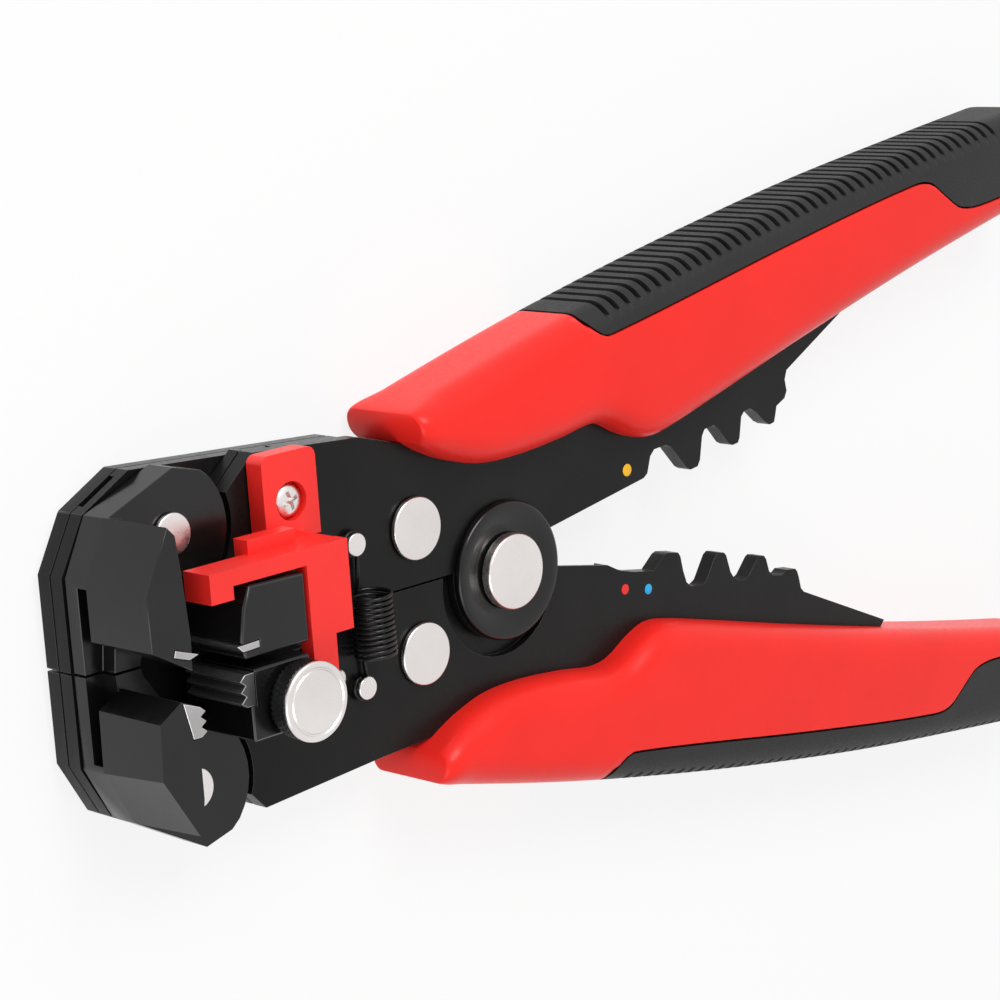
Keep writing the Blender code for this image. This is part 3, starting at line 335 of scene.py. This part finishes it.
def lathe(name, at, profile, paint, body, sides=72):
    """A profile of (radius, height) pairs, spun about the upright axis at a place."""
    bm = bmesh.new()
    rings = []
    for radius, height in profile:
        if radius < 1e-6:
            rings.append([bm.verts.new(Vector((at[0], at[1], height)) * MM)] * sides)
            continue
        spots = arc(at, radius, 0, 360, sides)[:-1]
        rings.append([bm.verts.new(Vector((x, y, height)) * MM) for x, y in spots])
    for low, high in zip(rings, rings[1:]):
        for i in range(sides):
            j = (i + 1) % sides
            corners = list(dict.fromkeys((low[i], low[j], high[j], high[i])))
            bm.faces.new(corners)
    return from_bmesh(name, bm, paint, body)


def rounded(corner, radius, steps=4):
    """A quarter round at a profile's upper outer corner, from the side to the top."""
    return arc((corner[0] - radius, corner[1] - radius), radius, 0, 90, steps)


# Grips

def rounded_off(distance, relief):
    """How far an end has shrunk at a distance from it: 1 at the very end and 0 past the relief."""
    share = min(1.0, max(0.0, distance / relief))
    return 1 - math.sqrt(1 - (1 - share) ** 2)


def grip_section(x):
    """The ring of (height, z) points of a whole grip, with its crowned sides, and its outer height."""
    tip = rounded_off(x - GRIP_TIP, TIP_RELIEF)
    end = rounded_off(GRIP_END - x, END_RELIEF)
    inner = PAD_HEIGHT + curve_height(GRIP_INNER, x) + END_INSET * end + TIP_INSET * 0.25 * tip
    outer = PAD_HEIGHT + curve_height(GRIP_OUTER, x) - END_INSET * end - TIP_INSET * 0.2 * tip
    low = END_INSET * 0.8 * end + TIP_INSET * tip
    high = GRIP_WIDTH - low
    radius = min(GRIP_ROUND, (outer - inner) * 0.44, (high - low) * 0.44)
    corners = (((outer - radius, high - radius), 0), ((inner + radius, high - radius), 90),
               ((inner + radius, low + radius), 180), ((outer - radius, low + radius), 270))
    ring = []
    for k, (centre, start) in enumerate(corners):
        turn = arc(centre, radius, start, start + 90, CORNER_STEPS)
        after = corners[(k + 1) % 4]
        begin = arc(after[0], radius, after[1], after[1], 1)[0]
        ring += turn
        last = turn[-1]
        ring += [(last[0] + (begin[0] - last[0]) * s / SIDE_STEPS,
                  last[1] + (begin[1] - last[1]) * s / SIDE_STEPS) for s in range(1, SIDE_STEPS)]
    middle, half = (inner + outer) / 2, (outer - inner) / 2
    crowned = []
    for height, z in ring:
        share = max(0.0, 1 - ((height - middle) / half) ** 2)
        towards = 1 if z > GRIP_WIDTH / 2 else -1
        flat = min(1.0, abs(z - GRIP_WIDTH / 2) / (GRIP_WIDTH / 2))
        crowned.append((height, z - GRIP_CROWN * towards * (1 - share) * flat ** 4))
    return crowned, outer


def rib_depth(x):
    """How deep the pad's ribbing is cut at a distance along the grip."""
    if x < RIB_START or x > RIB_STOP:
        return 0.0
    into = (x - RIB_START) % RIB_PITCH
    if into > RIB_GROOVE:
        return 0.0
    return RIB_DEPTH * min(1.0, min(into, RIB_GROOVE - into) / (RIB_GROOVE * 0.18))


def shell_stations():
    first, last = GRIP_TIP + TIP_RELIEF, GRIP_END - END_RELIEF
    near = [GRIP_TIP + TIP_RELIEF * k for k in (0.004, 0.03, 0.08, 0.16, 0.28, 0.42, 0.58, 0.78)]
    middle = [first + (last - first) * i / SHELL_SECTIONS for i in range(SHELL_SECTIONS + 1)]
    far = [GRIP_END - END_RELIEF * k for k in (0.8, 0.6, 0.42, 0.26, 0.14, 0.06, 0.015)]
    return near + middle + far


def pad_stations():
    """Close stations along the pad's slanted front, eight for each groove, then the shell's own."""
    grooves = []
    count = int((RIB_STOP - RIB_START) / RIB_PITCH) + 1
    for i in range(count):
        start = RIB_START + i * RIB_PITCH
        grooves += [start + RIB_GROOVE * share for share in (-0.04, 0.0, 0.18, 0.5, 0.82, 1.0, 1.04)]
        grooves.append(start + (RIB_GROOVE + RIB_PITCH) / 2)
    before = [PAD_FRONT + PAD_FRONT_STEP * i for i in range(24)]
    rest = [x for x in shell_stations() if x > grooves[-1] + 0.3]
    return [x for x in before if x < grooves[0] - 0.2] + grooves + rest


def grip_rings(side, stations, keep):
    """The rings of a grip, whose points keep() holds on its own side of the line."""
    rings = []
    for x in stations:
        ring, outer = grip_section(x)
        line = PAD_HEIGHT + curve_height(PAD_EDGE, x)
        points = keep(ring, line, outer, x, side)
        if points:
            rings.append([(*opened(x, height, side), z) for height, z in points])
    return rings


def reach_at(ring, height):
    """The lowest and highest z of a section at one height."""
    crossings = [GRIP_WIDTH / 2]
    for (h0, z0), (h1, z1) in zip(ring, ring[1:] + ring[:1]):
        if h0 != h1 and (h0 - height) * (h1 - height) <= 0:
            crossings.append(z0 + (z1 - z0) * (height - h0) / (h1 - h0))
    return min(crossings), max(crossings)


def held(ring, limit, way):
    """The ring with its points past a height drawn back to it, inside the section's own outline."""
    low, high = reach_at(ring, limit)
    return [(limit, min(max(z, low), high)) if (height - limit) * way < 0 else (height, z)
            for height, z in ring]


def shell_ring(ring, line, outer, x, side):
    """The shell's share of a section, which is all that lies inward of the line."""
    return held(ring, line - SEAM_GAP, -1)


def pad_ring(ring, line, outer, x, side):
    """The pad's share of a section, with its groove, or None where the pad is too thin to stand."""
    if outer < line + SEAM_GAP + PAD_THINNEST:
        return None
    depth = rib_depth(x)
    wide = RIB_WRAP[side]
    points = []
    for height, z in held(ring, line + SEAM_GAP, 1):
        if depth:
            wrap = min(1.0, max(0.0, (height - (outer - wide)) / wide * 2.5))
            edge = min(1.0, max(0.0, (height - (outer - wide)) / wide * 1.6))
            height = max(height - depth * edge * 0.85, line + SEAM_GAP)
            z = z + depth * 0.55 * wrap * (1 if z < GRIP_WIDTH / 2 else -1)
        points.append((height, z))
    return points


def make_grips():
    for side, word in ((1, "upper"), (-1, "lower")):
        body = f"{word}_arm"
        shell = loft(f"{word}_handle_shell", grip_rings(side, shell_stations(), shell_ring), red, body,
                     50)
        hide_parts(f"{word}_grip_shell")
        pad = loft(f"{word}_handle_pad", grip_rings(side, pad_stations(), pad_ring), rubber, body,
                   40)
        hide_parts(f"{word}_grip_pad")


make_grips()


# Pins and rivets

# For each pin: radius of shank and of head, height of head, radius of back head, rounding of head
RIVET_BACK = 0.6
PINS = {
    "main_pivot_pin": (3.2, 5.6, 1.7, 5.6, 0.45),
    "upper_arm_rivet": (2.6, 4.55, 0.8, 4.55, 0.3),
    "lower_arm_rivet": (2.6, 4.55, 0.8, 4.55, 0.3),
    "upper_spring_post": (1.1, 1.65, 0.5, 2.1, 0.2),
    "lower_spring_post": (1.1, 1.65, 0.5, 2.1, 0.2),
    "upper_jaw_pin": (2.6, 2.9, 0.7, 3.2, 0.25),
    "lower_jaw_pin": (2.6, 2.9, 0.7, 3.2, 0.25),
}


def make_pins():
    """Each pin again with a round front edge and a faint dome, in the CAD pin's place."""
    for node, (shank, head, thick, back, edge) in PINS.items():
        high = top_of(node)
        low = high - thick
        profile = [(0, 0), (back - 0.12, 0), (back, 0.12), (back, RIVET_BACK), (shank, RIVET_BACK)]
        profile += [(shank, low), (head - 0.1, low), (head, low + 0.1)]
        profile += rounded((head, high - 0.04), edge)
        profile += [(head * 0.5, high - 0.01), (0, high)]
        pin = lathe(f"{node}_turned", centre_of(node), profile, nickel, BODY_OF[node])
        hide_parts(node)


COLLAR_HEIGHT = 1.0
COLLAR_RADIUS = 10.3
COLLAR_DISH = 6.5


def make_collar():
    """The dished black ring round the pivot head."""
    base = top_of("pivot_collar") - COLLAR_HEIGHT
    lug, dish = COLLAR_RADIUS, COLLAR_DISH
    profile = [(3.4, base), (lug - 0.1, base), (lug, base + 0.1), (lug, base + 0.35)]
    profile += arc((lug - 0.6, base + 0.4), 0.6, 0, 90, 5)
    profile += [(lug - 1.5, base + 0.98), (dish + 1.2, base + 0.72), (dish + 0.2, base + 0.45)]
    profile += [(dish, base + 0.4), (3.4, base + 0.4), (3.4, base)]
    collar = lathe("pivot_collar_turned", (0, 0), profile, cast_black, BODY_OF["pivot_collar"],
                   96)
    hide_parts("pivot_collar")


make_pins()
make_collar()


# Stop screw

STOP_SHANK = 1.4
STOP_HEAD = 2.3
STOP_HEAD_HEIGHT = 1.4
STOP_RIM = 0.6
STOP_DOME = 0.78
CROSS_TURN = 20
CROSS_REACH = 1.35
CROSS_HALF = 0.3
CROSS_DEPTH = 0.75


def cross_at(x, y, turn):
    """The twelve corners of the driver recess, turned by some degrees."""
    a, b = CROSS_REACH, CROSS_HALF
    corners = [(a, -b), (a, b), (b, b), (b, a), (-b, a), (-b, b), (-a, b), (-a, -b), (-b, -b), (-b, -a),
               (b, -a), (b, -b)]
    c, s = math.cos(math.radians(turn)), math.sin(math.radians(turn))
    return [(x + px * c - py * s, y + px * s + py * c) for px, py in corners]


def make_stop_screw():
    """The pan head again, rounder, with a deep cross recess."""
    x, y = centre_of("stop_screw")
    high = top_of("stop_screw")
    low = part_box("stop_screw")[0][2] / MM
    seat = high - STOP_HEAD_HEIGHT
    rim = seat + STOP_RIM
    profile = [(0, low), (STOP_SHANK, low), (STOP_SHANK, seat), (STOP_HEAD - 0.1, seat)]
    profile += [(STOP_HEAD, seat + 0.1), (STOP_HEAD, rim)]
    profile += [(STOP_HEAD * math.cos(math.radians(a)), rim + STOP_DOME * math.sin(math.radians(a)))
                for a in range(15, 90, 15)]
    profile += [(0, high - 0.02)]
    screw = lathe("stop_screw_turned", (x, y), profile, nickel, BODY_OF["stop_screw"], 64)
    bm = bmesh.new()
    foot = [bm.verts.new(Vector((px, py, high - CROSS_DEPTH)) * MM) for px, py in cross_at(x, y, CROSS_TURN)]
    roof = [bm.verts.new(Vector((px, py, high + 1)) * MM) for px, py in cross_at(x, y, CROSS_TURN)]
    bm.faces.new(foot[::-1])
    bm.faces.new(roof)
    for i in range(len(foot)):
        j = (i + 1) % len(foot)
        bm.faces.new((foot[i], foot[j], roof[j], roof[i]))
    bmesh.ops.recalc_face_normals(bm, faces=bm.faces)
    mesh = bpy.data.meshes.new("recess")
    bm.to_mesh(mesh)
    bm.free()
    recess = bpy.data.objects.new("recess", mesh)
    bpy.context.scene.collection.objects.link(recess)
    step = screw.modifiers.new("recess", "BOOLEAN")
    step.operation = "DIFFERENCE"
    step.solver = "EXACT"
    step.object = recess
    graph = bpy.context.evaluated_depsgraph_get()
    screw.data = bpy.data.meshes.new_from_object(screw.evaluated_get(graph))
    screw.modifiers.clear()
    bpy.data.objects.remove(recess, do_unlink=True)
    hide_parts("stop_screw")


make_stop_screw()


# Knob

KNOB_RADIUS = 5.4
KNOB_TEETH = 44
KNOB_TWIST = 11.0
KNOB_HEIGHT = 3.7
KNOB_CAP = 0.7
KNOB_SCREW = 1.2
KNURL_ROWS = 8
KNURL_DEPTH = 0.16


def make_knob():
    """The skirt with its crossed knurling and the bright cap with a sunk ring."""
    at = centre_of("adjuster_knob")
    low = top_of("knob_cap") - KNOB_HEIGHT
    cap_low = top_of("knob_cap") - KNOB_CAP
    bm = bmesh.new()
    rings = []
    for row in range(KNURL_ROWS + 1):
        z = low + 0.35 + (cap_low - 0.25 - low - 0.35) * row / KNURL_ROWS
        turn = math.radians(KNOB_TWIST * row / KNURL_ROWS)
        ring = []
        for i in range(KNOB_TEETH * 2):
            a = math.pi * i / KNOB_TEETH
            first = math.cos(KNOB_TEETH * (a + turn))
            second = math.cos(KNOB_TEETH * (a - turn))
            radius = KNOB_RADIUS - KNURL_DEPTH * (1 - max(first, second))
            ring.append(Vector((at[0] + radius * math.cos(a), at[1] + radius * math.sin(a), z)))
        rings.append(ring)
    inset = KNOB_RADIUS - 0.5
    count = KNOB_TEETH * 2
    rings.insert(0, [Vector((*p, low)) for p in arc(at, inset, 0, 360, count)[:-1]])
    rings.append([Vector((*p, cap_low - 0.02)) for p in arc(at, inset, 0, 360, count)[:-1]])
    made = [[bm.verts.new(p * MM) for p in ring] for ring in rings]
    for a, b in zip(made, made[1:]):
        for i in range(count):
            bm.faces.new((a[i], a[(i + 1) % count], b[(i + 1) % count], b[i]))
    bm.faces.new(made[0][::-1])
    bm.faces.new(made[-1])
    piece = from_bmesh("knob_skirt", bm, skirt, "adjuster_knob", 50)
    screw_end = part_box("adjuster_knob")[0][2] / MM
    profile = [(0, screw_end), (KNOB_SCREW, screw_end), (KNOB_SCREW, low), (0, low)]
    screw = lathe("knob_screw", at, profile, nickel, "adjuster_knob", 32)
    screw.parent = piece
    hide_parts("adjuster_knob")
    high = top_of("knob_cap")
    profile = [(0, cap_low), (KNOB_RADIUS - 0.15, cap_low), (KNOB_RADIUS, cap_low + 0.15)]
    profile += rounded((KNOB_RADIUS, high - 0.05), 0.4)
    profile += [(KNOB_RADIUS * share, high - sunk) for share, sunk in
                ((0.86, 0.04), (0.83, 0.2), (0.80, 0.2), (0.77, 0.04), (0.4, 0.01), (0, 0))]
    cap = lathe("knob_face", at, profile, nickel, "adjuster_knob", 96)
    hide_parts("knob_cap")


make_knob()


# Spring

POST_AT = (29.6, 10.1, 10.4)
POST_RADIUS = 1.1
COIL_AT = (-29.2, -1.1)
COIL_RADIUS = 2.75
WIRE_RADIUS = 0.31
COIL_TURNS = 12
COIL_LENGTH = 9.0
HOOK_ROOM = 1.2


def spring_path(steps=28):
    """The wire's middle line: a loop over the upper post, the close coil and a loop over the lower one."""
    coil_z = FACE_Z + 0.2 + WIRE_RADIUS + COIL_RADIUS
    loop_z = FACE_Z + HOOK_ROOM / 2 + 0.1
    loop = POST_RADIUS + WIRE_RADIUS + 0.3
    coil_x, coil_y = COIL_AT
    top = (-POST_AT[0], POST_AT[1])
    bottom = (-POST_AT[0], -POST_AT[2])
    points = [Vector((x, y, loop_z)) for x, y in arc(top, loop, 250, -70, 20)]
    total = COIL_TURNS * steps
    for i in range(total + 1):
        a = math.radians(-90 + 360 * i / steps)
        y = coil_y + COIL_LENGTH / 2 - COIL_LENGTH * i / total
        points.append(Vector((coil_x + COIL_RADIUS * math.cos(a), y, coil_z + COIL_RADIUS * math.sin(a))))
    points += [Vector((x, y, loop_z)) for x, y in arc(bottom, loop, 70, -250, 20)]
    return points


def make_spring():
    sides = 10
    points = spring_path()
    bm = bmesh.new()
    rings = []
    across = Vector((0, 0, 1))
    for i, point in enumerate(points):
        along = (points[min(i + 1, len(points) - 1)] - points[max(i - 1, 0)]).normalized()
        across = (across - along * across.dot(along)).normalized()
        other = along.cross(across)
        rings.append([(point + (across * math.cos(a) + other * math.sin(a)) * WIRE_RADIUS)
                      for a in (2 * math.pi * k / sides for k in range(sides))])
    made = [[bm.verts.new(p * MM) for p in ring] for ring in rings]
    for a, b in zip(made, made[1:]):
        for k in range(sides):
            bm.faces.new((a[k], a[(k + 1) % sides], b[(k + 1) % sides], b[k]))
    bm.faces.new(made[0][::-1])
    bm.faces.new(made[-1])
    bmesh.ops.recalc_face_normals(bm, faces=bm.faces)
    mesh = bpy.data.meshes.new("spring_coil")
    bm.to_mesh(mesh)
    bm.free()
    mesh.materials.append(spring_wire)
    mesh.shade_smooth()
    spring = bpy.data.objects.new("spring_coil", mesh)
    bpy.context.scene.collection.objects.link(spring)
    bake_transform(spring)
    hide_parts("return_spring")


make_spring()


# Dots on the levers

def dot(name, at, radius, paint, body):
    """A drop of paint, hardly raised from the lever's face."""
    high = FACE_Z + 0.1
    low = FACE_Z + 0.02
    profile = [(0, low), (radius, low), (radius, high - 0.04), (radius - 0.08, high), (0, high)]
    lathe(name, at, profile, paint, body, 32)


dot("yellow_dot", (27.4, 9.55), 0.95, yellow_paint, "upper_arm")
dot("red_dot", (25.4, -8.6), 0.8, red_paint, "lower_arm")
dot("blue_dot", (30.6, -9.7), 0.8, blue_paint, "lower_arm")


# Studio

KEY_AT = (-0.15, 0.75, 0.75)
KEY_POWER = 7.5
FILL_AT = (-0.7, -0.35, 0.45)
FILL_POWER = 2.2
LAMP_SIZE = 0.6
WORLD_LIGHT = 0.42
FLOOR_GLOW = 0.85


def make_camera():
    data = bpy.data.cameras.new("photo_camera")
    data.lens = CAMERA_LENS
    data.sensor_width = 36.0
    data.clip_start = 0.01
    obj = bpy.data.objects.new("photo_camera", data)
    bpy.context.scene.collection.objects.link(obj)
    right = Vector(CAMERA_RIGHT).normalized()
    back = right.cross(Vector(CAMERA_UP)).normalized()
    up = back.cross(right)
    turn = Matrix((right, up, back)).transposed().to_4x4()
    obj.matrix_world = Matrix.Translation(Vector(CAMERA_AT) * MM) @ turn
    bpy.context.scene.camera = obj


def seen_or_mirrored(tree):
    """1 for rays from the camera and off gloss or through glass, and 0 for light that bounces."""
    rays = add(tree, "ShaderNodeLightPath")
    first = add(tree, "ShaderNodeMath", operation="MAXIMUM")
    second = add(tree, "ShaderNodeMath", operation="MAXIMUM")
    tree.links.new(rays.outputs["Is Camera Ray"], first.inputs[0])
    tree.links.new(rays.outputs["Is Glossy Ray"], first.inputs[1])
    tree.links.new(first.outputs[0], second.inputs[0])
    tree.links.new(rays.outputs["Is Transmission Ray"], second.inputs[1])
    return second.outputs[0]


def make_floor():
    made, tree, shader = new_material("floor_finish")
    shader.inputs["Base Color"].default_value = (0.9, 0.9, 0.9, 1)
    shader.inputs["Roughness"].default_value = 0.9
    shader.inputs["Specular IOR Level"].default_value = 0.0
    glow = add(tree, "ShaderNodeEmission")
    share = add(tree, "ShaderNodeMath", operation="MULTIPLY")
    share.inputs[1].default_value = FLOOR_GLOW
    mix = add(tree, "ShaderNodeMixShader")
    tree.links.new(seen_or_mirrored(tree), share.inputs[0])
    tree.links.new(share.outputs[0], mix.inputs["Fac"])
    tree.links.new(shader.outputs["BSDF"], mix.inputs[1])
    tree.links.new(glow.outputs["Emission"], mix.inputs[2])
    tree.links.new(mix.outputs["Shader"], tree.nodes["Material Output"].inputs["Surface"])
    bm = bmesh.new()
    bmesh.ops.create_grid(bm, x_segments=1, y_segments=1, size=3.0)
    mesh = bpy.data.meshes.new("floor")
    bm.to_mesh(mesh)
    bm.free()
    mesh.materials.append(made)
    obj = bpy.data.objects.new("floor", mesh)
    obj.location.z = -0.0005
    bpy.context.scene.collection.objects.link(obj)


def area_light(name, at, size, power):
    data = bpy.data.lights.new(name, "AREA")
    data.shape = "DISK"
    data.size = size
    data.energy = power
    obj = bpy.data.objects.new(name, data)
    bpy.context.scene.collection.objects.link(obj)
    obj.location = at
    obj.rotation_euler = (-Vector(at)).to_track_quat("-Z", "Y").to_euler()


def make_world():
    world = bpy.data.worlds.new("studio")
    bpy.context.scene.world = world
    world.use_nodes = True
    tree = world.node_tree
    strength = add(tree, "ShaderNodeMapRange")
    strength.inputs["To Min"].default_value = WORLD_LIGHT
    strength.inputs["To Max"].default_value = 1.0
    tree.links.new(seen_or_mirrored(tree), strength.inputs["Value"])
    tree.links.new(strength.outputs["Result"], tree.nodes["Background"].inputs["Strength"])
    tree.nodes["Background"].inputs["Color"].default_value = (1, 1, 1, 1)


make_camera()
make_floor()
make_world()
area_light("key", KEY_AT, LAMP_SIZE, KEY_POWER)
area_light("fill", FILL_AT, LAMP_SIZE, FILL_POWER)
bpy.context.scene.view_settings.view_transform = "Standard"
